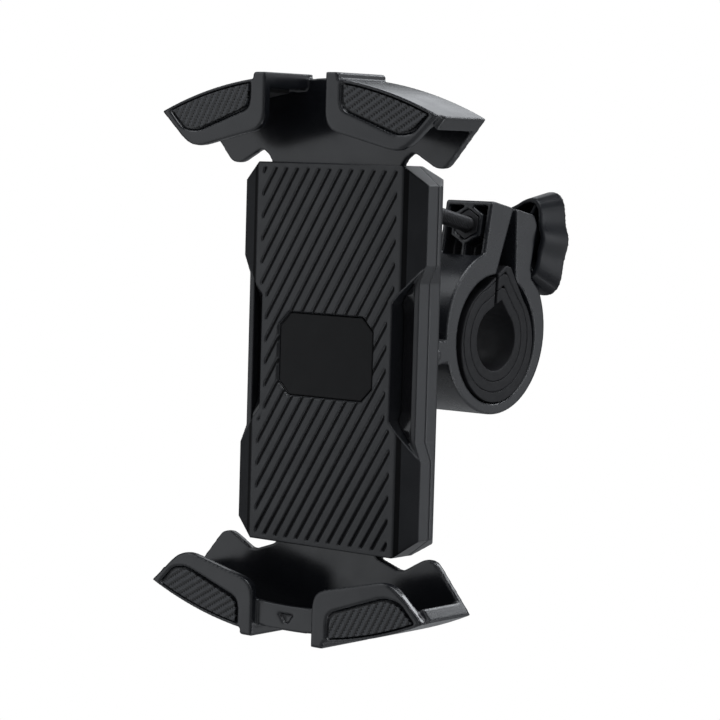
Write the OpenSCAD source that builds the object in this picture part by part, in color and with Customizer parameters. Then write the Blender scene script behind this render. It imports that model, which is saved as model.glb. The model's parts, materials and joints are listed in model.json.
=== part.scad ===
// Phone mount for a handlebar: a bolted bar clamp with three nested sleeves, a ball
// joint, and a cradle whose two sprung claws are kept in step by one pinion.
// Millimetres. X runs along the handlebar, Z is up and the phone looks toward -Y.
// The origin is the centre of the clamp's bore.

/* [Cradle] */
// Half width of the cradle across its rim
rim_half_w = 33.4; // [32.8:0.1:34]
// Half width of the flat front face
face_half_w = 26.3; // [26:0.1:26.8]
// Half width at the waist
waist_half_w = 23.9; // [23.6:0.1:24.2]
// Half height of the cradle
half_h = 54.5; // [53.5:0.1:55]
// Full depth of the housing
housing_depth = 13.4; // [13.2:0.1:14]
// Depth of the line between front cover and rear shell
part_y = 7.4; // [7.3:0.1:7.5]
// Distance from the front face back to the bore's centre
reach = 68.7; // [68:0.1:72]
// Height of the cradle's centre below the bore's centre
drop = 3.1; // [2.5:0.1:4]

/* [Face pattern] */
// Spacing of the grooves, square to their length
groove_pitch = 3.4; // [2.9:0.05:3.5]
// Width of one groove
groove_w = 0.95; // [0.5:0.05:1.1]
// Depth of one groove
groove_d = 0.5; // [0.3:0.05:0.7]
// Slope of the grooves above the horizontal, in degrees
groove_slope = 58.4; // [55:0.1:65]
// Half width of the eight-sided badge
badge_half_w = 17.2; // [16:0.1:18]
// Half height of the eight-sided badge
badge_half_h = 11.8; // [11:0.1:12.5]

/* [Claws] */
// Radius of the claws' outer arc
arc_r = 124; // [122:1:128]
// Height of the arc's crown above the cradle's centre, claws shut
crown_z = 78.6; // [78.4:0.1:79]
// Thickness of the arc wall
arc_t = 2.3; // [2:0.1:2.5]
// Reach of the lips in front of the cradle's face
lip_front = 15.8; // [15.4:0.1:17]
// Thickness of the lips
lip_t = 2.6; // [2.4:0.1:2.8]
// Half width of the gap between the two fingers
finger_gap = 11; // [10.8:0.1:11.2]
// Half width of the upper claw's neck
upper_neck = 23.6; // [23.4:0.1:23.7]
// Half width of the lower claw's neck
lower_neck = 18; // [17.9:0.1:18.1]

/* [Ball joint] */
// Radius of the ball
ball_r = 8.5; // [8.3:0.05:8.6]
// Depth of the ball's centre behind the front face
ball_y = 29; // [28.6:0.1:29.2]
// Outer radius of the collar
collar_r = 17; // [16:0.1:17.2]

/* [Bar clamp] */
// Radius of the smallest bar, all three sleeves fitted
bore_r = 9.525; // [9.4:0.025:9.6]
// Thickness of the inner and middle sleeves
sleeve_t = 3.175; // [3.1:0.025:3.2]
// Radius of the ring's own bore
ring_bore_r = 19.5; // [19.4:0.05:19.8]
// Outer radius of the ring
ring_r = 24.7; // [24.4:0.1:25.5]
// Width of the ring along the bar
clamp_w = 19.6; // [19:0.2:21]
// Lean of the ears away from the phone, in degrees
ear_tilt = 11.2; // [10.4:0.1:12]
// Radius of the clamping bolt
bolt_r = 2.4; // [2.3:0.05:2.5]
// Radius of the knob at the tip of a lobe, on its outer face
knob_lobe_r = 18.2; // [17.4:0.1:18.6]
// Radius of the knob half way between two lobes, on its outer face
knob_waist_r = 14; // [13.4:0.1:14.6]

/* [Hidden] */
$fn = 64;
eps = 0.01;

// Cradle outline: heights of its corners
shoulder_z = 49.2;
hip_z = 27.2;
waist_z = 16.5;
bar_z = 22;
bar_half_w = 31.2;
bar_inner = 29.4;
bevel_y = 2.9;
rim_back_y = 9.3;
back_half_w = 30.4;
pocket_y = 6.2;
skin = 2.6;
wall = 2;
floor_y = housing_depth - 2;

// Badge
groove_start = 0.25;
badge_cut = 4;
badge_floor = 1.7;
badge_front = 0.7;

// Sliders, racks and pinion
slide_y = 2.8;
slide_back = 5;
rack_back = 6.8;
gear_r = 6;
gear_teeth = 12;
gear_half_angle = 6.9;
pitch = 2 * PI;
rack_pitch = PI;
rack_arm = 14;
rack_end = 19.5;
plate_end = 22.5;
axle_r = 1.5;
post_x = 17.4;
post_z = 25;
anchor_z = -20;
spring_y = 9.2;
coil_r = 1.45;
wire_r = 0.35;
coil_turns = 15;

// Screws
case_screw_x = 27.4;
case_screw_z = 42.5;
case_boss_r = 2.85;
stud_screw_r = 6.8;

// Ball joint
liner_gap = 0.05;
liner_t = 1.2;
socket_r = ball_r + 2 * liner_gap + liner_t;
tube_r = 13;
plate_y = 33;
plate_back = 37.2;

// Bar clamp
ring_lift = 2;
ear_top = 38;
bolt_z = 30.6;
ear_w = 17.4;
ear_x = (clamp_w - ear_w) / 2;
near_face = -11.5;
far_face = 12.8;
nut_af = 8;
nut_t = 4;
washer_t = 1;
knob_y = far_face + 0.15 + washer_t + 0.15;
knob_t = 9.1;
knob_taper = 0.77;
knob_ripple = 0.86;
lobe_angle = 67;

// ---- helpers ----

// A shape drawn in X and Z, extruded along Y from y0 to y1
module slab(y0, y1) {
  translate([0, y1, 0]) rotate([90, 0, 0]) linear_extrude(y1 - y0) children();
}

// A shape drawn in Y and Z, extruded along X from x0 to x1
module across(x0, x1) {
  translate([x0, 0, 0]) rotate([90, 0, 90]) linear_extrude(x1 - x0) children();
}

// A round bar along Y
module rod(r, y0, y1, x = 0, z = 0) {
  translate([x, y1, z]) rotate([90, 0, 0]) cylinder(r = r, h = y1 - y0);
}

// A ball whose poles lie on Y
module ball(r) {
  rotate([90, 0, 0]) sphere(r = r);
}

// A box from its low corner to its high corner
module block(a, b) {
  translate(a) cube(b - a);
}

// Everything on the cradle is placed from the centre of its front face
module at_cradle() {
  translate([0, -reach, -drop]) children();
}

// Everything on the ears is placed from the ring's outer centre, leaning with them
module at_ears() {
  translate([ear_x, 0, ring_lift]) rotate([-ear_tilt, 0, 0]) children();
}

module both_sides() {
  children();
  mirror([1, 0, 0]) children();
}

// A corner list with each corner rounded off: every entry is [x, y, reach of the round]
function unit(v) = v / norm(v);
function corner(p, a, b, t, s) =
  pow(1 - s, 2) * (p + unit(a - p) * t) + 2 * s * (1 - s) * p + pow(s, 2) * (p + unit(b - p) * t);
function xy(q) = [q[0], q[1]];
function soft(q, n = 4) = [
  for (i = [0 : len(q) - 1])
    let (p = xy(q[i]), a = xy(q[(i + len(q) - 1) % len(q)]), b = xy(q[(i + 1) % len(q)]))
      for (k = [0 : (q[i][2] > 0 ? n : 0)])
        q[i][2] > 0 ? corner(p, a, b, q[i][2], k / n) : p
];
function flip(q) = [for (i = [len(q) - 1 : -1 : 0]) [-q[i][0], q[i][1]]];
function upside(q) = [for (i = [len(q) - 1 : -1 : 0]) [q[i][0], -q[i][1]]];

// ---- cradle housing ----

rim_quarter = [[bar_half_w, bar_z], [rim_half_w, hip_z], [rim_half_w, shoulder_z],
  [face_half_w, half_h]];
rim_right = concat(upside(rim_quarter), rim_quarter);
rim_outline = concat(rim_right, flip(rim_right));

cavity_quarter = [[waist_half_w - 1.6, waist_z + 0.8], [rim_half_w - 3.4, hip_z + 1.6],
  [rim_half_w - 3.4, shoulder_z - 1.6], [face_half_w - 1.6, half_h - wall]];
cavity_right = concat(upside(cavity_quarter), cavity_quarter);
cavity_outline = concat(cavity_right, flip(cavity_right));

rear_quarter = [[bar_half_w - wall, bar_z], [rim_half_w - 3.4, hip_z + 1],
  [rim_half_w - 3.4, shoulder_z - 1.6], [face_half_w - 1.6, half_h - wall]];
rear_right = concat(upside(rear_quarter), rear_quarter);
rear_outline = concat(rear_right, flip(rear_right));

field_quarter = [[waist_half_w - 1.6, waist_z + 0.5], [face_half_w - 1.8, waist_z + 3.2],
  [face_half_w - 1.8, half_h - 1.5]];
field_right = concat(upside(field_quarter), field_quarter);
field_outline = concat(field_right, flip(field_right));

module housing_blank(y0, y1) {
  intersection() {
    slab(y0, y1) polygon(rim_outline);
    translate([0, 0, -half_h - 1]) linear_extrude(2 * half_h + 2) polygon([
      [-rim_half_w, rim_back_y], [-rim_half_w, bevel_y], [-face_half_w, 0],
      [face_half_w, 0], [rim_half_w, bevel_y], [rim_half_w, rim_back_y],
      [back_half_w, housing_depth], [-back_half_w, housing_depth]]);
    across(-40, 40) polygon([[0, -half_h], [0, half_h], [rim_back_y, half_h],
      [housing_depth, half_h - 4], [housing_depth, 4 - half_h], [rim_back_y, -half_h]]);
  }
}

module octagon(w, h, c) {
  polygon([[w - c, -h], [w, c - h], [w, h - c], [w - c, h], [c - w, h], [-w, h - c],
    [-w, c - h], [c - w, -h]]);
}

module grooves() {
  slab(-1, groove_d) intersection() {
    polygon(field_outline);
    rotate(groove_slope)
      for (i = [-15 : 15])
        translate([-80, groove_start + i * groove_pitch - groove_w / 2]) square([160, groove_w]);
  }
}

// The side pockets at the waist, on the right-hand side
hip_slope = (hip_z - waist_z) / (rim_half_w - waist_half_w);
bar_meet = waist_z + (bar_inner - waist_half_w) * hip_slope;
module pocket_step() {
  polygon([[waist_half_w, -waist_z], [rim_half_w, -hip_z], [rim_half_w + 5, -hip_z],
    [rim_half_w + 5, hip_z], [rim_half_w, hip_z], [waist_half_w, waist_z]]);
}
module pocket_well(g = 0) {
  polygon([[waist_half_w + g, g - waist_z], [bar_inner - g, 1.4 * g - bar_meet],
    [bar_inner - g, bar_meet - 1.4 * g], [waist_half_w + g, waist_z - g]]);
}

module front_cover() {
  color([0.09, 0.09, 0.1]) at_cradle() {
    difference() {
      housing_blank(0, part_y);
      both_sides() {
        slab(-1, bevel_y) pocket_step();
        slab(-1, pocket_y) pocket_well();
      }
      grooves();
      slab(-1, badge_front) octagon(badge_half_w + 0.4, badge_half_h + 0.4, badge_cut);
      slab(-1, badge_floor) octagon(badge_half_w, badge_half_h, badge_cut);
      difference() {
        slab(skin, part_y + 1) polygon(cavity_outline);
        both_sides() slab(skin, pocket_y + 1.2) pocket_well(-1.6);
      }
      block([-upper_neck - 0.4, skin, half_h - 5], [upper_neck + 0.4, part_y + 1, half_h + 1]);
      block([-lower_neck - 0.4, skin, -half_h - 1], [lower_neck + 0.4, part_y + 1, 5 - half_h]);
    }
    for (sx = [-1, 1])
      for (sz = [-1, 1])
        difference() {
          rod(case_boss_r, skin - eps, part_y, sx * case_screw_x, sz * case_screw_z);
          rod(1.05, skin + 0.4, part_y + 1, sx * case_screw_x, sz * case_screw_z);
        }
  }
}

module badge_panel() {
  color([0.05, 0.05, 0.055]) at_cradle() {
    slab(badge_front, badge_floor - 0.02)
      octagon(badge_half_w - 0.05, badge_half_h - 0.05, badge_cut);
  }
}

// A glossy tray pressed into the waist pocket, with a ramp at each end
module side_inlay() {
  difference() {
    slab(bevel_y + 0.3, pocket_y - 0.02) pocket_well(0.05);
    across(waist_half_w - 1, bar_inner + 1) polygon([
      [bevel_y - 1, 1 - bar_meet], [pocket_y - 0.8, 9 - bar_meet],
      [pocket_y - 0.8, bar_meet - 9], [bevel_y - 1, bar_meet - 1]]);
  }
}
module side_inlay_left() {
  color([0.02, 0.02, 0.02]) at_cradle() mirror([1, 0, 0]) side_inlay();
}
module side_inlay_right() {
  color([0.02, 0.02, 0.02]) at_cradle() side_inlay();
}

module rear_shell() {
  color([0.08, 0.08, 0.085]) at_cradle() {
    difference() {
      union() {
        difference() {
          housing_blank(part_y, housing_depth);
          slab(part_y - 1, floor_y) polygon(rear_outline);
        }
        // guides and supports for the two sliders
        both_sides() {
          block([upper_neck + 0.25, slide_y + 0.2, 24], [upper_neck + 1.2, floor_y + eps, 38.8]);
          block([20.9, slide_back + 0.2, 24], [22.1, floor_y + eps, half_h - wall]);
          block([lower_neck + 0.25, slide_y + 0.2, -51], [lower_neck + 1.25, floor_y + eps, -24]);
          block([14.6, slide_back + 0.2, wall - half_h], [15.8, floor_y + eps, -24]);
          block([rack_arm + 0.25, slide_y + 0.2, -plate_end], [rack_arm + 1.1, floor_y + eps, plate_end]);
          rod(1, 7, floor_y + eps, post_x, anchor_z);
          rod(case_boss_r, part_y, floor_y + eps, case_screw_x, case_screw_z);
          rod(case_boss_r, part_y, floor_y + eps, case_screw_x, -case_screw_z);
        }
        block([-upper_neck, slide_back + 0.2, half_h - wall], [upper_neck, part_y + eps, half_h]);
        rod(3.6, rack_back + 0.15, floor_y + eps);
      }
      rod(axle_r + 0.02, rack_back, floor_y + 0.8);
      for (sx = [-1, 1])
        for (sz = [-1, 1]) {
          rod(1.3, part_y - 1, housing_depth + 1, sx * case_screw_x, sz * case_screw_z);
          rod(2.3, floor_y + 0.2, housing_depth + 1, sx * case_screw_x, sz * case_screw_z);
        }
      for (a = [45 : 90 : 315])
        rod(1.5, floor_y - 1, housing_depth + 1, stud_screw_r * cos(a), stud_screw_r * sin(a));
    }
  }
}

module housing_screws() {
  color([0.3, 0.3, 0.32]) at_cradle()
    for (sx = [-1, 1])
      for (sz = [-1, 1])
        difference() {
          union() {
            rod(1, skin + 1, floor_y + 0.4, sx * case_screw_x, sz * case_screw_z);
            rod(2, floor_y + 0.25, floor_y + 1.6, sx * case_screw_x, sz * case_screw_z);
          }
          translate([sx * case_screw_x, 0, sz * case_screw_z])
            for (a = [0, 90])
              rotate([0, a, 0]) block([-1.2, floor_y + 0.9, -0.25], [1.2, floor_y + 2, 0.25]);
        }
}

module pinion_axle() {
  color([0.6, 0.6, 0.62]) at_cradle() rod(axle_r, slide_y, floor_y + 0.7);
}

module ball_stud() {
  color([0.1, 0.1, 0.105]) at_cradle() difference() {
    union() {
      rod(9.5, housing_depth, housing_depth + 3);
      rod(4.5, housing_depth + 2, ball_y);
      translate([0, ball_y, 0]) ball(ball_r);
    }
    for (a = [45 : 90 : 315])
      rod(1.25, housing_depth - 1, housing_depth + 2.6, stud_screw_r * cos(a), stud_screw_r * sin(a));
  }
}

module stud_screws() {
  color([0.6, 0.6, 0.62]) at_cradle()
    for (a = [45 : 90 : 315])
      translate([stud_screw_r * cos(a), 0, stud_screw_r * sin(a)]) {
        rod(1.2, floor_y - 0.1, housing_depth + 2.4);
        rod(2.1, floor_y - 1.5, floor_y);
      }
}

// ---- claws, drawn as the upper one ----

arc_z = crown_z - arc_r;
module disc(r) {
  translate([0, arc_z]) circle(r = r, $fn = 256);
}

// Back plate with its two wings; the neck's half width is n
module wing_outline(n) {
  right = soft([[n, plate_end, 0], [n, 55.2, 2.4], [27.6, 58.4, 1.8], [35.9, 53.8, 1.7],
    [39.4, 54.2, 1.6], [52.6, 69.8, 0], [53, 90, 0]]);
  intersection() {
    polygon(concat(right, flip(right)));
    disc(arc_r);
  }
}

// Front lip of the right-hand finger
module lip_outline() {
  intersection() {
    polygon(soft([[finger_gap, 64, 4.5], [38.4, 57.7, 5], [51.9, 69.7, 0], [53, 90, 0],
      [finger_gap, 90, 0]]));
    disc(arc_r);
  }
}

// Textured inset of the right-hand lip, grown by g all round and by top at the arc
module inset_outline(g = 0, top = 0) {
  intersection() {
    polygon(soft([[17.4 - g, 70.2 - g, 2.6], [36.6, 63.3 - g, 2.7], [41.2 + g, 64.1 - g, 1.9],
      [47.9 + g, 70, 0], [47.9 + g, 90, 0], [17.4 - g, 90, 0]]));
    disc(arc_r - 1.25 + top);
  }
}

module finger() {
  // arc wall under the finger
  slab(lip_t - lip_front - eps, slide_back) difference() {
    intersection() {
      wing_outline(upper_neck);
      translate([finger_gap, 50]) square([60, 60]);
    }
    disc(arc_r - arc_t);
  }
  // lip with the recess for its inset
  difference() {
    slab(-lip_front, lip_t - lip_front) lip_outline();
    slab(-lip_front - 1, 1 - lip_front) inset_outline(0.85, 0.45);
  }
  // bead along the arc wall's outer end
  slab(lip_t - lip_front - eps, slide_back) intersection() {
    wing_outline(upper_neck);
    polygon([[51.8, 67.8], [48.4, 63.8], [46.2, 65.6], [49.6, 69.6]]);
  }
  // square end rib, full depth
  slab(-lip_front, slide_back) polygon([[finger_gap, 75.1], [finger_gap + 4.5, 74.9],
    [finger_gap + 4.5, 79], [finger_gap + 4, 79.5], [finger_gap, 79.5]]);
}

module claw_plate(n) {
  slab(slide_y, slide_back) wing_outline(n);
}

// Rack along Z, its teeth facing the pinion from the -X side
tooth_tip = 0.47;
tooth_pitch_half = 0.725;
module rack_arm_left() {
  slab(slide_y, rack_back) {
    translate([-rack_arm, -rack_end]) square([rack_arm - gear_r - 1.05, rack_end + plate_end + 1]);
    for (k = [0 : 6])
      translate([-gear_r, rack_pitch * (0.5 - k)]) polygon([
        [-1.06, -tooth_pitch_half - 0.38], [0.7, -tooth_tip], [0.7, tooth_tip],
        [-1.06, tooth_pitch_half + 0.38]]);
  }
}

module upper_claw() {
  color([0.085, 0.085, 0.09]) at_cradle() {
    claw_plate(upper_neck);
    both_sides() finger();
    rack_arm_left();
    for (s = [-1, 1])
      rod(1, slide_back - eps, 10.8, s * post_x, post_z);
  }
}

module inset() {
  slab(0.15 - lip_front, 0.98 - lip_front) inset_outline();
}
module upper_inset_left() {
  color([0.13, 0.13, 0.14]) at_cradle() mirror([1, 0, 0]) inset();
}
module upper_inset_right() {
  color([0.13, 0.13, 0.14]) at_cradle() inset();
}

// Soft pads on the inside of the arc, one under each finger
module arc_pads() {
  both_sides() slab(lip_t - lip_front + 1, slide_y - 1) difference() {
    intersection() {
      disc(arc_r - arc_t - 0.05);
      polygon([[finger_gap + 6, 60], [46, 60], [46, 80], [finger_gap + 6, 80]]);
    }
    disc(arc_r - arc_t - 1.1);
  }
}
module upper_pads() {
  color([0.05, 0.05, 0.05]) at_cradle() arc_pads();
}

module lower_claw() {
  color([0.085, 0.085, 0.09]) at_cradle() mirror([0, 0, 1]) {
    claw_plate(lower_neck);
    both_sides() {
      finger();
      // side flange that stiffens the neck
      block([lower_neck - 1.6, slide_y, plate_end], [lower_neck, part_y - 0.2, 58.5]);
    }
    // floor and band that join the two fingers
    slab(2 - lip_front, slide_back) difference() {
      intersection() {
        disc(arc_r - 1.9);
        translate([-finger_gap - 1, 60]) square([2 * finger_gap + 2, 30]);
      }
      disc(arc_r - 1.9 - arc_t);
    }
    difference() {
      slab(2 - lip_front, 4 - lip_front) difference() {
        intersection() {
          disc(arc_r - 1.9);
          translate([-finger_gap - 1, 60]) square([2 * finger_gap + 2, 30]);
        }
        disc(arc_r - 9);
      }
      slab(-lip_front, 3 - lip_front) polygon([[-2.9, 71.8], [2.9, 71.8], [0, 75.4]]);
    }
    // rack for the other side of the pinion
    mirror([1, 0, 0]) rack_arm_left();
  }
}
module lower_inset_left() {
  color([0.13, 0.13, 0.14]) at_cradle() mirror([0, 0, 1]) mirror([1, 0, 0]) inset();
}
module lower_inset_right() {
  color([0.13, 0.13, 0.14]) at_cradle() mirror([0, 0, 1]) inset();
}
module lower_pads() {
  color([0.05, 0.05, 0.05]) at_cradle() mirror([0, 0, 1]) arc_pads();
}

// ---- pinion and springs ----

base_r = gear_r * cos(20);
function involute(a) = tan(a) * 180 / PI - a;
function flank(r) = gear_half_angle + involute(20) - involute(acos(min(1, base_r / r)));
flank_radii = [5.7, 5.95, 6.25, 6.55, 6.8];
function tooth(c) = concat(
  [[5.05, c - flank(base_r) - 0.4]],
  [for (r = flank_radii) [r, c - flank(r)]],
  [for (i = [len(flank_radii) - 1 : -1 : 0]) [flank_radii[i], c + flank(flank_radii[i])]],
  [[5.05, c + flank(base_r) + 0.4]]);
module sync_pinion() {
  color([0.75, 0.74, 0.7]) at_cradle() difference() {
    slab(slide_y + 0.1, rack_back - 0.05) polygon([
      for (i = [0 : gear_teeth - 1])
        for (q = tooth(i * 360 / gear_teeth)) q[0] * [cos(q[1]), sin(q[1])]]);
    rod(axle_r + 0.05, 0, 10);
  }
}

module spring() {
  coil_z0 = anchor_z + 2.6;
  coil_h = post_z - anchor_z - 5.2;
  translate([post_x, spring_y, coil_z0])
    linear_extrude(coil_h, twist = -360 * coil_turns, slices = 10 * coil_turns, $fn = 10)
      translate([coil_r, 0]) circle(r = wire_r, $fn = 6);
  for (z = [anchor_z, post_z])
    translate([post_x, spring_y, z]) rotate([90, 0, 0])
      rotate_extrude() translate([1.75, 0]) circle(r = wire_r, $fn = 8);
  block([post_x + coil_r - 0.3, spring_y - 0.3, anchor_z + 0.7],
    [post_x + coil_r + 0.3, spring_y + 0.3, coil_z0 + 0.3]);
  block([post_x + coil_r - 0.3, spring_y - 0.3, coil_z0 + coil_h - 0.3],
    [post_x + coil_r + 0.3, spring_y + 0.3, post_z - 0.7]);
}
module spring_left() {
  color([0.7, 0.7, 0.72]) at_cradle() mirror([1, 0, 0]) spring();
}
module spring_right() {
  color([0.7, 0.7, 0.72]) at_cradle() spring();
}

// ---- ball joint ----

module at_ball() {
  at_cradle() translate([0, ball_y, 0]) children();
}

// Part of a hollow sphere between two depths from the ball's centre
module liner(y0, y1) {
  intersection() {
    difference() {
      ball(ball_r + liner_gap + liner_t);
      ball(ball_r + liner_gap);
    }
    block([-20, y0, -20], [20, y1, 20]);
  }
}
module seat_cup() {
  color([0.2, 0.2, 0.21]) at_ball() liner(2.5, 8.2);
}
module seat_ring() {
  color([0.22, 0.22, 0.23]) at_ball() liner(-5, -1.4);
}

module collar() {
  color([0.1, 0.1, 0.105]) at_ball() difference() {
    union() {
      rod(collar_r - 0.8, -5, 3.4);
      for (i = [0 : 11])
        rotate([0, i * 30, 0]) rod(2.6, -4.4, 3.4, collar_r - 2.6);
    }
    rod(tube_r + 0.05, -3.4, 4);
    ball(socket_r + 0.02);
  }
}

// ---- bar clamp ----

// Everything of the ring, ears and arm that is one straight extrusion along the bar
module ear_shapes() {
  translate([0, ring_lift]) rotate(-ear_tilt) {
    polygon(soft([[near_face, 10, 0], [-5.3, 12, 0], [-3.9, 19, 0], [-0.2, ear_top, 0],
      [near_face, ear_top, 1.2]]));
    polygon(soft([[far_face, 10, 0], [far_face, 35.2, 1], [10.6, ear_top, 1.4],
      [0.7, ear_top, 0], [5.1, 19, 0], [6.6, 12, 0]]));
  }
}
module arm_shape() {
  top = 3.4 - drop;
  bottom = -2.6 - drop;
  y0 = plate_y - reach;
  y1 = plate_back - reach;
  polygon(soft([[y0, -21 - drop, 0], [y1 - 0.6, -21 - drop, 0], [y1, bottom - 1.6, 3.5],
    [-22, bottom, 0], [-22, top, 0], [y1, top, 6], [y1 - 0.6, 21 - drop, 1], [y0, 21 - drop, 0]]));
}

module clamp_body() {
  color([0.085, 0.085, 0.09]) difference() {
    union() {
      across(-clamp_w / 2, clamp_w / 2) {
        translate([0, ring_lift]) circle(r = ring_r, $fn = 128);
        arm_shape();
      }
      across(ear_x - ear_w / 2, ear_x + ear_w / 2) ear_shapes();
      at_ball() {
        rod(tube_r, -3.2, plate_y - ball_y + eps);
        rod(7.5, plate_back - ball_y - 1, socket_r + 1.7);
      }
    }
    // bore and the slit that runs up between the ears
    across(-clamp_w, clamp_w) {
      circle(r = ring_bore_r, $fn = 128);
      translate([0, ring_lift]) rotate(-ear_tilt)
        polygon([[-4.8, 14], [-3.9, 19], [-0.2, ear_top + 1], [0.7, ear_top + 1], [5.1, 19],
          [5.6, 18], [7.3, 16.3], [8, 14]]);
    }
    at_ears() {
      // pocket for the nut, leaving a six-sided seat on a rib
      difference() {
        block([1.7 - ear_w / 2, near_face - 1, 20.8], [ear_w / 2 - 1.7, near_face + 5, 36.4]);
        translate([0, near_face + 6, bolt_z]) rotate([90, 30, 0])
          cylinder(r = (nut_af + 3) / sqrt(3), h = 5.8, $fn = 6);
        block([-0.8, near_face + 0.4, 20], [0.8, near_face + 6, bolt_z - 5]);
      }
      translate([0, near_face + nut_t + 0.4, bolt_z]) rotate([90, 30, 0])
        cylinder(r = (nut_af + 0.2) / sqrt(3), h = 10, $fn = 6);
      rod(bolt_r + 0.35, near_face - 1, far_face + 1, 0, bolt_z);
      knob_sweep();
    }
    at_ball() ball(socket_r);
  }
}

// Round at the bottom and drawn out to a point at the top
module teardrop(r, tip) {
  f = acos(r / tip);
  inner = 0.985 * r;
  circle(r = r, $fn = 128);
  rotate(-ear_tilt)
    polygon([[inner * sin(f), inner * cos(f)], [0, tip], [-inner * sin(f), inner * cos(f)], [0, 0]]);
}
module sleeve(top) {
  across(0.1 - clamp_w / 2, clamp_w / 2 - 0.1) difference() {
    intersection() {
      children(0);
      rotate(-ear_tilt) translate([-40, -40]) square([80, 40 + top]);
    }
    children(1);
    rotate(-ear_tilt) rotate(8) translate([-1.9, 4]) square([1.1, 30]);
  }
}
middle_r = bore_r + 2 * sleeve_t + 0.05;
module sleeve_inner() {
  color([0.04, 0.04, 0.045]) sleeve(15.6) {
    teardrop(bore_r + sleeve_t, 16.4);
    teardrop(bore_r, 12);
  }
}
module sleeve_middle() {
  color([0.045, 0.045, 0.05]) sleeve(19.8) {
    teardrop(middle_r - eps, 20.6);
    teardrop(bore_r + sleeve_t + 0.05, 16.5);
  }
}
module sleeve_outer() {
  color([0.05, 0.05, 0.055]) sleeve(22.4) {
    translate([0.8, -1.25]) teardrop(ring_bore_r - 1.6, 24.6);
    teardrop(middle_r + 0.05, 20.7);
  }
}

module hex_nut() {
  color([0.2, 0.2, 0.21]) at_ears() difference() {
    translate([0, near_face + nut_t + 0.3, bolt_z]) rotate([90, 30, 0])
      cylinder(r = nut_af / sqrt(3), h = nut_t, $fn = 6);
    rod(bolt_r + 0.05, near_face - 1, 0, 0, bolt_z);
  }
}

module washer() {
  color([0.5, 0.5, 0.52]) at_ears() difference() {
    rod(5.5, far_face + 0.15, far_face + 0.15 + washer_t, 0, bolt_z);
    rod(bolt_r + 0.3, far_face, knob_y, 0, bolt_z);
  }
}

// Three broad lobes, drawn at the outer face and taken in by g all round
function knob_r(a) = (knob_lobe_r + knob_waist_r) / 2 - knob_ripple
  + (knob_lobe_r - knob_waist_r) / 2 * cos(3 * a) + knob_ripple * cos(6 * a);
function knob_outline(g) = [
  for (a = [0 : 5 : 355]) (knob_r(a) - g) * [cos(a + lobe_angle), sin(a + lobe_angle)]];
// The knob narrows toward the ears: its scale at depth y
function knob_scale(y) = knob_taper + (1 - knob_taper) * y / knob_t;
module knob_body(y0, y1, g = 0) {
  outer = knob_scale(y1);
  translate([0, y1, 0]) rotate([90, 0, 0])
    linear_extrude(y1 - y0, scale = knob_scale(y0) / outer)
      scale([outer, outer]) polygon(knob_outline(g));
}
module knob() {
  color([0.08, 0.08, 0.085]) at_ears() translate([0, knob_y, bolt_z]) difference() {
    knob_body(0, knob_t);
    // hollow toward the ears, round a hub with three ribs
    difference() {
      knob_body(-1, knob_t - 2.4, 2);
      rod(6.4, -2, knob_t);
      for (a = [0, 120, 240])
        rotate([0, a - lobe_angle, 0]) block([5, 1.2, -0.6], [20, knob_t, 0.6]);
    }
    rod(bolt_r + 0.05, -1, knob_t);
    translate([0, knob_t + 1, 0]) rotate([90, 0, 0])
      cylinder(r = (nut_af + 0.1) / sqrt(3), h = 5, $fn = 6);
  }
}
// Room that the knob's lobes sweep as it turns
module knob_sweep() {
  translate([0, knob_y - 0.5, bolt_z]) rotate([-90, 0, 0])
    cylinder(r1 = knob_lobe_r * knob_scale(-0.5) + 0.4, r2 = knob_lobe_r * knob_scale(knob_t) + 0.4,
      h = knob_t + 0.5, $fn = 64);
}

module clamp_bolt() {
  color([0.25, 0.25, 0.26]) at_ears() {
    rod(bolt_r, -29.5, knob_y + knob_t - 3.9, 0, bolt_z);
    translate([0, knob_y + knob_t - 0.4, bolt_z]) rotate([90, 0, 0])
      cylinder(r = nut_af / sqrt(3), h = 3.55, $fn = 6);
  }
}

front_cover();
badge_panel();
side_inlay_left();
side_inlay_right();
rear_shell();
housing_screws();
pinion_axle();
ball_stud();
stud_screws();
upper_claw();
upper_inset_left();
upper_inset_right();
upper_pads();
lower_claw();
lower_inset_left();
lower_inset_right();
lower_pads();
sync_pinion();
spring_left();
spring_right();
seat_cup();
seat_ring();
collar();
clamp_body();
sleeve_outer();
sleeve_middle();
sleeve_inner();
hex_nut();
washer();
knob();
clamp_bolt();
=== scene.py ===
"""Looks of the handlebar phone mount. Metres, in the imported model's own frame."""

import json
from math import ceil, cos, floor, pi, radians, sin

import bmesh
import bpy
from mathutils import Matrix, Vector


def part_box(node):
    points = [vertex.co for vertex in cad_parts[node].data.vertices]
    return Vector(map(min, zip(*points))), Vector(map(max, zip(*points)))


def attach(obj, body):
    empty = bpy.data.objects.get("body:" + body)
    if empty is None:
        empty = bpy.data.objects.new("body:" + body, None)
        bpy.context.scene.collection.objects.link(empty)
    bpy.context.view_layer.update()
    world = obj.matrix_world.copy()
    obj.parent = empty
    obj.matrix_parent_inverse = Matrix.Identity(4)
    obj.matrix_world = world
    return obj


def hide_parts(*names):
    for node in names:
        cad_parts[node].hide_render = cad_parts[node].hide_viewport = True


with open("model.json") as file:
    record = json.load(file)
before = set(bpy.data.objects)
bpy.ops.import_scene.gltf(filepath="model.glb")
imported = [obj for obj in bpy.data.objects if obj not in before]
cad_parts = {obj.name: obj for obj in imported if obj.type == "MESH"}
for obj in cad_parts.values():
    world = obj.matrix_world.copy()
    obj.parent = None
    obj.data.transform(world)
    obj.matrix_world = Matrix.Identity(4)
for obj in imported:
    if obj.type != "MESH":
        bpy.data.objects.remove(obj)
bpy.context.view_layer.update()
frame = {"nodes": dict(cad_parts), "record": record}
nodes = frame["nodes"]
record = frame["record"]
MM = 0.001

# ---- camera: angle, lens and framing ----

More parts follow.
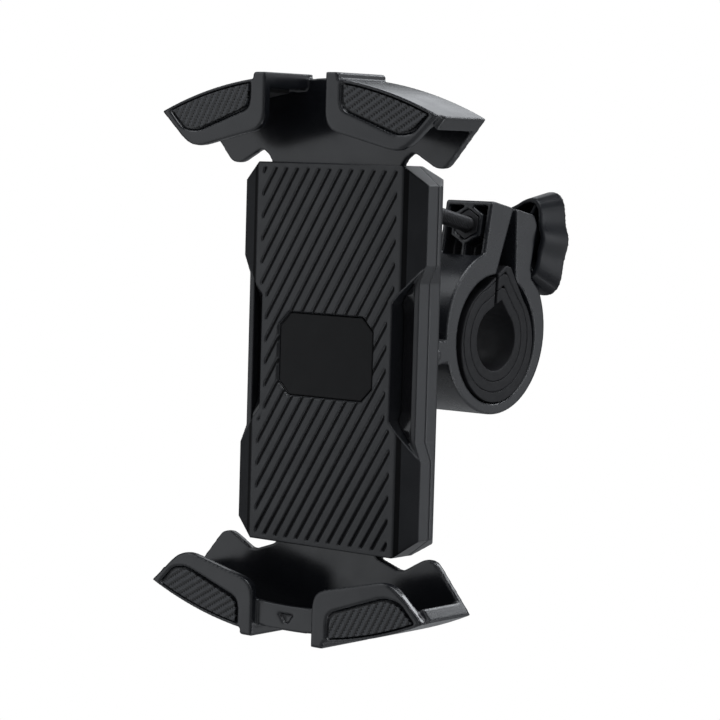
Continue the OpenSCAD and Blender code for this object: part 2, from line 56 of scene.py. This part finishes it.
AZIMUTH = radians(39.13)
ELEVATION = radians(4.44)
ROLL = radians(1.617)
DISTANCE = 754.6 * MM
LENS = 133.5
SENSOR = 36
CLIP = (0.01, 50)
AIM_RIGHT = 10.18 * MM
AIM_UP = -0.93 * MM


def face_centre():
    """The middle of the cradle's front face."""
    low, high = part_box("front_cover")
    return Vector(((low.x + high.x) / 2, low.y, (low.z + high.z) / 2))


def make_camera():
    """Places the camera and returns its backward, right and up directions."""
    back = Vector((sin(AZIMUTH) * cos(ELEVATION), -cos(AZIMUTH) * cos(ELEVATION), sin(ELEVATION)))
    level = Vector((cos(AZIMUTH), sin(AZIMUTH), 0))
    upright = back.cross(level)
    right = level * cos(ROLL) + upright * sin(ROLL)
    up = upright * cos(ROLL) - level * sin(ROLL)
    camera = bpy.data.objects.new("camera", bpy.data.cameras.new("camera"))
    place = face_centre() + right * AIM_RIGHT + up * AIM_UP + back * DISTANCE
    turn = Matrix((right, up, back)).transposed().to_4x4()
    camera.matrix_world = Matrix.Translation(place) @ turn
    camera.data.lens = LENS
    camera.data.sensor_width = SENSOR
    camera.data.clip_start, camera.data.clip_end = CLIP
    bpy.context.scene.collection.objects.link(camera)
    bpy.context.scene.camera = camera
    return back, right, up


view_back, view_right, view_up = make_camera()

# ---- studio ----

FLOOR_Z = -0.32
FLOOR_HALF = 6
FLOOR_GREY = 0.5
STUDIO_COLOUR = (0.93, 0.96, 1)
STUDIO_STRENGTH = 0.13
# The point that every light faces
LIT_POINT = Vector((0, -0.04, 0))


def node_material(name):
    paint = bpy.data.materials.new(name)
    paint.use_nodes = True
    return paint, paint.node_tree, paint.node_tree.nodes["Principled BSDF"]


def camera_sees(tree, others, seen, surface):
    """One shader for camera rays and another for all other rays."""
    path = tree.nodes.new("ShaderNodeLightPath")
    mix = tree.nodes.new("ShaderNodeMixShader")
    tree.links.new(path.outputs["Is Camera Ray"], mix.inputs["Fac"])
    tree.links.new(others, mix.inputs[1])
    tree.links.new(seen, mix.inputs[2])
    tree.links.new(mix.outputs["Shader"], surface)


def make_world():
    """Plain white behind the mount, and a faint even light from all round."""
    world = bpy.data.worlds.new("studio")
    bpy.context.scene.world = world
    world.use_nodes = True
    tree = world.node_tree
    tree.nodes.clear()
    out = tree.nodes.new("ShaderNodeOutputWorld")
    seen = tree.nodes.new("ShaderNodeBackground")
    seen.inputs["Color"].default_value = (1, 1, 1, 1)
    seen.inputs["Strength"].default_value = 1.0
    lit = tree.nodes.new("ShaderNodeBackground")
    lit.inputs["Color"].default_value = (*STUDIO_COLOUR, 1)
    lit.inputs["Strength"].default_value = STUDIO_STRENGTH
    camera_sees(tree, lit.outputs["Background"], seen.outputs["Background"], out.inputs["Surface"])
    bpy.context.scene.view_settings.view_transform = "Standard"


def make_floor():
    """A pale floor that the camera sees as plain white, with no horizon."""
    mesh = bpy.data.meshes.new("floor")
    size = FLOOR_HALF
    corners = [(-size, -size, FLOOR_Z), (size, -size, FLOOR_Z),
               (size, size, FLOOR_Z), (-size, size, FLOOR_Z)]
    mesh.from_pydata(corners, [], [(0, 1, 2, 3)])
    plane = bpy.data.objects.new("floor", mesh)
    bpy.context.scene.collection.objects.link(plane)
    paint, tree, shader = node_material("floor")
    shader.inputs["Base Color"].default_value = (FLOOR_GREY, FLOOR_GREY, FLOOR_GREY, 1)
    shader.inputs["Roughness"].default_value = 0.9
    seen = tree.nodes.new("ShaderNodeEmission")
    surface = tree.nodes["Material Output"].inputs["Surface"]
    camera_sees(tree, shader.outputs["BSDF"], seen.outputs["Emission"], surface)
    plane.data.materials.append(paint)


def softbox(name, way, distance, width, height, brightness):
    """A rectangular light that faces the mount: brightness is what a mirror would show of it."""
    data = bpy.data.lights.new(name, "AREA")
    data.shape = "RECTANGLE"
    data.size = width
    data.size_y = height
    data.energy = brightness * pi * width * height
    data.color = STUDIO_COLOUR
    place = LIT_POINT + way.normalized() * distance
    lamp = bpy.data.objects.new(name, data)
    lamp.location = place
    lamp.rotation_mode = "QUATERNION"
    lamp.rotation_quaternion = (LIT_POINT - place).to_track_quat("-Z", "Y")
    bpy.context.scene.collection.objects.link(lamp)


def make_lights():
    above = Vector((0, 0, 1))
    right, back = view_right, view_back
    # Direction from the mount, distance, width, height and brightness
    boxes = {
        "top": (above + right * 0.1 + back * 0.15, 0.75, 0.7, 0.4, 6),
        "rim": (Vector((0.2, 0.77, 0.6)), 0.85, 0.16, 0.3, 9),
        "behind": (Vector((-0.35, 0.8, 0.55)), 0.9, 0.5, 0.3, 1.3),
        "right": (right + back * 0.25 + above * 0.1, 0.8, 0.16, 0.9, 4.5),
        "back_right": (Vector((0.64, 0.77, 0.02)), 0.9, 0.45, 0.9, 0.8),
        "upper_left": (Vector((-0.63, -0.29, 0.72)), 0.85, 0.4, 0.35, 1.7),
        "right_front": (Vector((0.78, -0.64, -0.05)), 0.85, 0.2, 0.9, 0.8),
        "left": (back * 0.1 - right + above * 0.12, 0.8, 0.4, 0.9, 1.0),
        "front_left": (Vector((-0.25, -0.97, 0.05)), 0.9, 0.2, 0.9, 0.9),
        "front": (back + right * 0.3 + above * 0.75, 0.95, 0.8, 0.3, 1.5),
        "low": (back * 0.6 + right * 0.5 - above * 0.9, 0.4, 0.3, 0.08, 4),
    }
    for name, (way, distance, width, height, brightness) in boxes.items():
        softbox(name, way, distance, width, height, brightness)


make_world()
make_floor()
make_lights()

# ---- materials ----

BEVEL_SAMPLES = 4


def noise(tree, scale, detail=2.0):
    """3-D noise in the object's own metres: scale is features per metre."""
    coords = tree.nodes.new("ShaderNodeTexCoord")
    texture = tree.nodes.new("ShaderNodeTexNoise")
    texture.inputs["Scale"].default_value = scale
    texture.inputs["Detail"].default_value = detail
    texture.inputs["Roughness"].default_value = 0.5
    tree.links.new(coords.outputs["Object"], texture.inputs["Vector"])
    return texture.outputs["Fac"]


def spread(tree, value, low, high):
    """Maps a noise's usual 0.3-0.7 to low-high."""
    ramp = tree.nodes.new("ShaderNodeMapRange")
    ramp.inputs["From Min"].default_value = 0.3
    ramp.inputs["From Max"].default_value = 0.7
    ramp.inputs["To Min"].default_value = low
    ramp.inputs["To Max"].default_value = high
    tree.links.new(value, ramp.inputs["Value"])
    return ramp.outputs["Result"]


def two_tone(tree, value, dark, light):
    mix = tree.nodes.new("ShaderNodeMix")
    mix.data_type = "RGBA"
    mix.inputs["A"].default_value = (*dark, 1)
    mix.inputs["B"].default_value = (*light, 1)
    tree.links.new(value, mix.inputs["Factor"])
    return mix.outputs["Result"]


def bump(tree, height, strength, distance, edge=0.0):
    """Fine relief, on top of edges that are softened over the given radius."""
    node = tree.nodes.new("ShaderNodeBump")
    node.inputs["Strength"].default_value = strength
    node.inputs["Distance"].default_value = distance
    tree.links.new(height, node.inputs["Height"])
    if edge:
        soft = tree.nodes.new("ShaderNodeBevel")
        soft.samples = BEVEL_SAMPLES
        soft.inputs["Radius"].default_value = edge
        tree.links.new(soft.outputs["Normal"], node.inputs["Normal"])
    return node.outputs["Normal"]


def moulded_plastic(name, dark, light, rough, specular=0.5, grain=2600,
                    grain_depth=0.012 * MM, edge=0.5 * MM):
    """Injection-moulded plastic: cloudy tone, uneven gloss and a fine spark-eroded grain."""
    paint, tree, shader = node_material(name)
    inputs = shader.inputs
    tree.links.new(two_tone(tree, noise(tree, 45, 3), dark, light), inputs["Base Color"])
    tree.links.new(spread(tree, noise(tree, 160, 4), *rough), inputs["Roughness"])
    fine = bump(tree, noise(tree, grain, 2), 0.6, grain_depth, edge)
    tree.links.new(fine, inputs["Normal"])
    inputs["Specular IOR Level"].default_value = specular
    return paint


def rubber(name, dark, light, rough, specular=0.4):
    """Matt rubber with a pebbled skin."""
    paint, tree, shader = node_material(name)
    inputs = shader.inputs
    tree.links.new(two_tone(tree, noise(tree, 90, 4), dark, light), inputs["Base Color"])
    tree.links.new(spread(tree, noise(tree, 400, 3), *rough), inputs["Roughness"])
    fine = bump(tree, noise(tree, 3400, 2), 0.7, 0.02 * MM, 0.3 * MM)
    tree.links.new(fine, inputs["Normal"])
    inputs["Specular IOR Level"].default_value = specular
    return paint


def metal(name, dark, light, rough, metallic=1.0):
    """Turned metal with a very fine tooth."""
    paint, tree, shader = node_material(name)
    inputs = shader.inputs
    tree.links.new(two_tone(tree, noise(tree, 700, 4), dark, light), inputs["Base Color"])
    tree.links.new(spread(tree, noise(tree, 1500, 3), *rough), inputs["Roughness"])
    tree.links.new(bump(tree, noise(tree, 4000, 2), 0.4, 0.006 * MM), inputs["Normal"])
    inputs["Metallic"].default_value = metallic
    return paint


# Kind of material, dark and light tone, range of roughness, and what differs from the usual
FINISH_TABLE = {
    "body_black": (moulded_plastic, (0.006, 0.0065, 0.008), (0.010, 0.0108, 0.013),
                   (0.32, 0.40), {}),
    "claw_black": (moulded_plastic, (0.005, 0.0055, 0.007), (0.008, 0.0087, 0.0105),
                   (0.17, 0.24), {"grain_depth": 0.006 * MM}),
    "clamp_black": (moulded_plastic, (0.006, 0.0065, 0.008), (0.010, 0.0108, 0.013),
                    (0.24, 0.32), {}),
    # Painted shade for the groove floors: darker and less reflective than the face
    "groove_black": (moulded_plastic, (0.002, 0.002, 0.0024), (0.004, 0.004, 0.0045),
                     (0.40, 0.50), {"specular": 0.12, "edge": 0}),
    "knob_black": (moulded_plastic, (0.005, 0.0055, 0.007), (0.009, 0.0097, 0.0115),
                   (0.26, 0.34), {"specular": 0.18}),
    "badge_satin": (moulded_plastic, (0.002, 0.002, 0.0024), (0.004, 0.004, 0.0045),
                    (0.30, 0.36), {"specular": 0.15}),
    "gloss_black": (moulded_plastic, (0.006, 0.006, 0.007), (0.010, 0.010, 0.0115),
                    (0.10, 0.18), {"grain": 400, "grain_depth": 0.004 * MM}),
    # The upright yarns' lighter tone is a painted sheen and the crossing yarns' darker tone a
    # painted shade, for the light each yarn direction catches
    "weave_black": (moulded_plastic, (0.036, 0.037, 0.04), (0.05, 0.052, 0.056),
                    (0.3, 0.4), {"specular": 0.4, "edge": 0}),
    "weave_dark": (moulded_plastic, (0.003, 0.003, 0.0035), (0.006, 0.006, 0.007),
                   (0.14, 0.22), {"specular": 0.35, "edge": 0}),
    "soft_black": (rubber, (0.010, 0.010, 0.010), (0.018, 0.018, 0.019), (0.7, 0.85), {}),
    "sleeve_rubber": (rubber, (0.006, 0.006, 0.0068), (0.010, 0.010, 0.0115),
                      (0.46, 0.6), {"specular": 0.22}),
    "ball_black": (moulded_plastic, (0.012, 0.012, 0.013), (0.02, 0.02, 0.021),
                   (0.25, 0.35), {}),
    "liner_grey": (moulded_plastic, (0.09, 0.09, 0.095), (0.13, 0.13, 0.135), (0.4, 0.5), {}),
    "nylon": (moulded_plastic, (0.55, 0.54, 0.50), (0.66, 0.65, 0.61), (0.4, 0.5), {}),
    "steel": (metal, (0.42, 0.42, 0.43), (0.60, 0.60, 0.61), (0.28, 0.42), {}),
    "black_steel": (metal, (0.012, 0.012, 0.013), (0.03, 0.03, 0.032), (0.3, 0.45),
                    {"metallic": 0.6}),
}
paints = {name: make(name, dark, light, rough, **extra)
          for name, (make, dark, light, rough, extra) in FINISH_TABLE.items()}
slot_of = {row["node"]: row["material_slot"] for row in record["subparts"]}
body_of = {node: body for body, members in record["behaviour"]["bodies"].items()
           for node in members}

# Mouldings with a finish of their own within the body's slot
FINISHES = {"upper_claw": "claw_black", "lower_claw": "claw_black", "clamp_body": "clamp_black",
            "knob": "knob_black", "collar": "clamp_black"}


def paint_of(node):
    return paints[FINISHES.get(node, slot_of[node])]


def paint_node(name):
    mesh = nodes[name].data
    mesh.materials.clear()
    mesh.materials.append(paint_of(name))


# ---- pieces ----

# Points nearer to each other than this are one point
WELD = 0.002 * MM


def finish_piece(obj, node, sharp=38):
    """Material, smooth shading with true edges, and its place on the CAD body."""
    mesh = obj.data
    mesh.materials.clear()
    mesh.materials.append(paint_of(node))
    mesh.shade_smooth()
    mesh.set_sharp_from_angle(angle=radians(sharp))
    even = obj.modifiers.new("even_normals", "WEIGHTED_NORMAL")
    even.keep_sharp = True
    bpy.context.scene.collection.objects.link(obj)
    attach(obj, body_of[node])
    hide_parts(node)


def new_piece(bm, node, suffix, sharp=38):
    """Turns a finished bmesh into the node's piece."""
    mesh = bpy.data.meshes.new(node + suffix)
    bm.to_mesh(mesh)
    bm.free()
    finish_piece(bpy.data.objects.new(node + suffix, mesh), node, sharp)
    return mesh


ROUND_STEPS = 3
HARD_EDGE = radians(33)
FLAT = radians(0.6)


def rounded(node, radius):
    """The CAD shape with its hard edges rounded over, as a moulding's are."""
    bm = bmesh.new()
    bm.from_mesh(nodes[node].data)
    bmesh.ops.remove_doubles(bm, verts=bm.verts, dist=WELD)
    bmesh.ops.dissolve_degenerate(bm, edges=bm.edges, dist=WELD)
    bmesh.ops.dissolve_limit(bm, angle_limit=FLAT, verts=bm.verts, edges=bm.edges,
                             use_dissolve_boundaries=False)
    hard = [e for e in bm.edges if len(e.link_faces) == 2 and e.calc_face_angle(0) > HARD_EDGE]
    bmesh.ops.bevel(bm, geom=hard, offset=radius, offset_type="OFFSET", segments=ROUND_STEPS,
                    profile=0.5, affect="EDGES", clamp_overlap=True)
    new_piece(bm, node, "_piece")


def softened(node, cell, passes):
    """The CAD shape remade as a fine even skin and relaxed, so that every edge is rounded."""
    obj = bpy.data.objects.new(node + "_soft", nodes[node].data.copy())
    skin = obj.modifiers.new("skin", "REMESH")
    skin.mode = "VOXEL"
    skin.voxel_size = cell
    skin.use_smooth_shade = True
    relax = obj.modifiers.new("relax", "SMOOTH")
    relax.factor = 0.5
    relax.iterations = passes
    bpy.context.scene.collection.objects.link(obj)
    graph = bpy.context.evaluated_depsgraph_get()
    mesh = bpy.data.meshes.new_from_object(obj.evaluated_get(graph))
    bpy.data.objects.remove(obj)
    finish_piece(bpy.data.objects.new(node + "_piece", mesh), node, 180)


# Depths under the face between which a level surface is a groove's floor
GROOVE_FLOOR = (0.2 * MM, 0.75 * MM)
LEVEL = -0.8


def paint_shade_in_grooves():
    """Painted shade on the floors of the face's grooves: a darker, less reflective and rougher
    material.
    """
    mesh = bpy.data.objects["front_cover_piece"].data
    face_y = min(v.co.y for v in mesh.vertices)
    mesh.materials.append(paints["groove_black"])
    for polygon in mesh.polygons:
        depth = polygon.center.y - face_y
        if polygon.normal.y < LEVEL and GROOVE_FLOOR[0] < depth < GROOVE_FLOOR[1]:
            polygon.material_index = 1


# ---- the woven insets ----

YARN = 0.67 * MM
YARN_STEPS = 4
YARN_RISE = 0.11 * MM
WEAVE_TURN = 15
FRONT_FACING = -0.9


def weave_height(u, v):
    """Height of a 2/2 twill at u, v (in yarns), and whether an upright yarn is on top."""
    i, j = floor(u + 1e-6), floor(v + 1e-6)
    upright = (i - j) % 4 < 2
    if upright:
        across, along = u - i, (v - j + (i - j) % 4) / 2
        along = 1 - along if along > 1 else along
    else:
        across, along = v - j, (u - i + (i - j) % 4 - 2) / 2
    crown = sin(pi * min(max(across, 0), 1)) ** 0.7
    return crown * (0.25 + 0.75 * sin(pi * min(max(along, 0), 1))), upright


def front_outline(source):
    """The front face's height and its outline, as pairs of points in order of discovery."""
    front = [p for p in source.polygons if p.normal.y < FRONT_FACING]
    edges = {}
    for polygon in front:
        ring = list(polygon.vertices)
        for a, b in zip(ring, ring[1:] + ring[:1]):
            if (b, a) in edges:
                del edges[(b, a)]
            else:
                edges[(a, b)] = True
    front_y = min(source.vertices[i].co.y for i in front[0].vertices)
    return front_y, [(source.vertices[a].co, source.vertices[b].co) for a, b in edges]


def yarn_grid(bm, middle, front_y, count, c, s):
    """A flat grid turned to the yarns, with the crossing yarns in the second material, which holds
    their painted shade.
    """
    steps = 2 * count * YARN_STEPS
    grid = []
    for row in range(steps + 1):
        v = -count + row / YARN_STEPS
        line = []
        for col in range(steps + 1):
            u = -count + col / YARN_STEPS
            x, z = u * YARN * c - v * YARN * s, u * YARN * s + v * YARN * c
            line.append(bm.verts.new((middle.x + x, front_y, middle.z + z)))
        grid.append(line)
    for row in range(steps):
        low, high = grid[row], grid[row + 1]
        v = -count + (row + 0.5) / YARN_STEPS
        for col in range(steps):
            u = -count + (col + 0.5) / YARN_STEPS
            face = bm.faces.new((low[col], low[col + 1], high[col + 1], high[col]))
            face.material_index = 0 if weave_height(u, v)[1] else 1


def cut_to_outline(bm, outline, middle):
    """Cuts the grid back to a convex outline."""
    for start, end in outline:
        run = end - start
        out = Vector((run.z, 0, -run.x))
        if out.dot(start - middle) < 0:
            out.negate()
        bmesh.ops.bisect_plane(bm, geom=bm.verts[:] + bm.edges[:] + bm.faces[:], dist=1e-8,
                               plane_co=start, plane_no=out, clear_outer=True)


def woven(node, turn):
    """The inset with a moulded twill: a fine grid cut to the CAD outline and raised by yarns. The
    upright yarns carry a painted sheen and the crossing yarns a painted shade.
    """
    source = nodes[node].data
    front_y, outline = front_outline(source)
    back_y = max(v.co.y for v in source.vertices)
    spots = [spot for pair in outline for spot in pair]
    middle = Vector((sum(p.x for p in spots) / len(spots), 0, sum(p.z for p in spots) / len(spots)))
    half = max((spot - middle).xz.length for spot in spots)
    c, s = cos(radians(turn)), sin(radians(turn))
    bm = bmesh.new()
    yarn_grid(bm, middle, front_y, ceil(half / YARN) + 1, c, s)
    cut_to_outline(bm, outline, middle)
    rim = [e for e in bm.edges if e.is_boundary]
    rim_spots = {v for e in rim for v in e.verts}
    for vert in bm.verts:
        x, z = vert.co.x - middle.x, vert.co.z - middle.z
        u, v = (x * c + z * s) / YARN, (z * c - x * s) / YARN
        lift = 0 if vert in rim_spots else weave_height(u, v)[0]
        vert.co.y = front_y + YARN_RISE * (1 - lift)
    wall = bmesh.ops.extrude_edge_only(bm, edges=rim)["geom"]
    for item in wall:
        if isinstance(item, bmesh.types.BMVert):
            item.co.y = back_y
    bmesh.ops.recalc_face_normals(bm, faces=bm.faces[:])
    picks = [face.material_index for face in bm.faces]
    mesh = new_piece(bm, node, "_weave", 60)
    # The crossing yarns' material, with painted shade
    mesh.materials.append(paints["weave_dark"])
    for polygon, pick in zip(mesh.polygons, picks):
        polygon.material_index = pick


# ---- the threaded bolt ----

THREAD_PITCH = 0.8 * MM
THREAD_ROOT = 1.93 * MM
THREAD_SIDES = 40
THREAD_STEPS = 8
# How far the thread's start fades in, and how much of its depth it starts with
THREAD_LEAD = 0.9 * MM
THREAD_START = 0.3


def thread_radius(rise, turn, crest, lead):
    """Radius of the thread at a height, in metres, and a part of a turn."""
    phase = (rise / THREAD_PITCH - turn) % 1
    ridge = min(1, max(0, 1.35 - 2.7 * abs(phase - 0.5)))
    fade = THREAD_START + (1 - THREAD_START) * min(1, lead / THREAD_LEAD)
    return THREAD_ROOT + (crest - THREAD_ROOT) * ridge * fade


def threaded_bolt(node, joint_name):
    """The CAD bolt with its plain shank cut into a screw thread."""
    joint = next(j for j in record["behaviour"]["joints"] if j["name"] == joint_name)
    axis, origin = Vector(joint["axis"]).normalized(), Vector(joint["pos_m"])
    side = Vector((1, 0, 0))
    other = axis.cross(side)
    bm = bmesh.new()
    bm.from_mesh(nodes[node].data)
    bmesh.ops.remove_doubles(bm, verts=bm.verts, dist=WELD)
    along = {v: (v.co - origin).dot(axis) for v in bm.verts}
    out = {v: ((v.co - origin) - axis * along[v]).length for v in bm.verts}
    start = min(along.values())
    radius = max(out[v] for v in bm.verts if along[v] < start + MM)
    shank = [f for f in bm.faces if all(out[v] < radius * 1.02 for v in f.verts)]
    stop = max(along[v] for f in shank if min(along[w] for w in f.verts) < start + MM
               for v in f.verts)
    bmesh.ops.delete(bm, geom=shank, context="FACES")
    crest = radius * 0.99
    rows = ceil((stop - start) / THREAD_PITCH * THREAD_STEPS)
    rings = []
    for row in range(rows + 1):
        rise = start + (stop - start) * row / rows
        ring = []
        for k in range(THREAD_SIDES):
            turn = k / THREAD_SIDES
            angle = 2 * pi * turn
            way = side * cos(angle) + other * sin(angle)
            reach = thread_radius(rise, turn, crest, rise - start)
            ring.append(bm.verts.new(origin + axis * rise + way * reach))
        rings.append(ring)
    for low, high in zip(rings, rings[1:]):
        for k in range(THREAD_SIDES):
            n = (k + 1) % THREAD_SIDES
            bm.faces.new((low[k], low[n], high[n], high[k]))
    bm.faces.new(rings[0])
    bm.faces.new(rings[-1][::-1])
    bmesh.ops.recalc_face_normals(bm, faces=bm.faces[:])
    new_piece(bm, node, "_thread", 45)


# Radius of the rounding, in millimetres
ROUNDS = {"hex_nut": 0.3, "pinion_axle": 0.2, "washer": 0.15}
# Size of the skin's cells in millimetres, and how many times it is relaxed
SOFTENED = {
    "front_cover": (0.24, 1), "rear_shell": (0.36, 3), "badge_panel": (0.25, 4),
    "side_inlay_left": (0.25, 3), "side_inlay_right": (0.25, 3), "upper_claw": (0.36, 5),
    "lower_claw": (0.36, 5), "clamp_body": (0.34, 4), "sleeve_outer": (0.3, 3),
    "sleeve_middle": (0.3, 3), "sleeve_inner": (0.3, 3), "knob": (0.3, 5), "collar": (0.36, 4),
}
WEAVE_TURNS = {
    "upper_inset_left": WEAVE_TURN, "upper_inset_right": -WEAVE_TURN,
    "lower_inset_left": -WEAVE_TURN, "lower_inset_right": WEAVE_TURN,
}
for node in nodes:
    if node in ROUNDS:
        rounded(node, ROUNDS[node] * MM)
    elif node in SOFTENED:
        cell, passes = SOFTENED[node]
        softened(node, cell * MM, passes)
    elif node in WEAVE_TURNS:
        woven(node, WEAVE_TURNS[node])
    elif node == "clamp_bolt":
        threaded_bolt(node, "knob_turn")
    else:
        paint_node(node)
paint_shade_in_grooves()
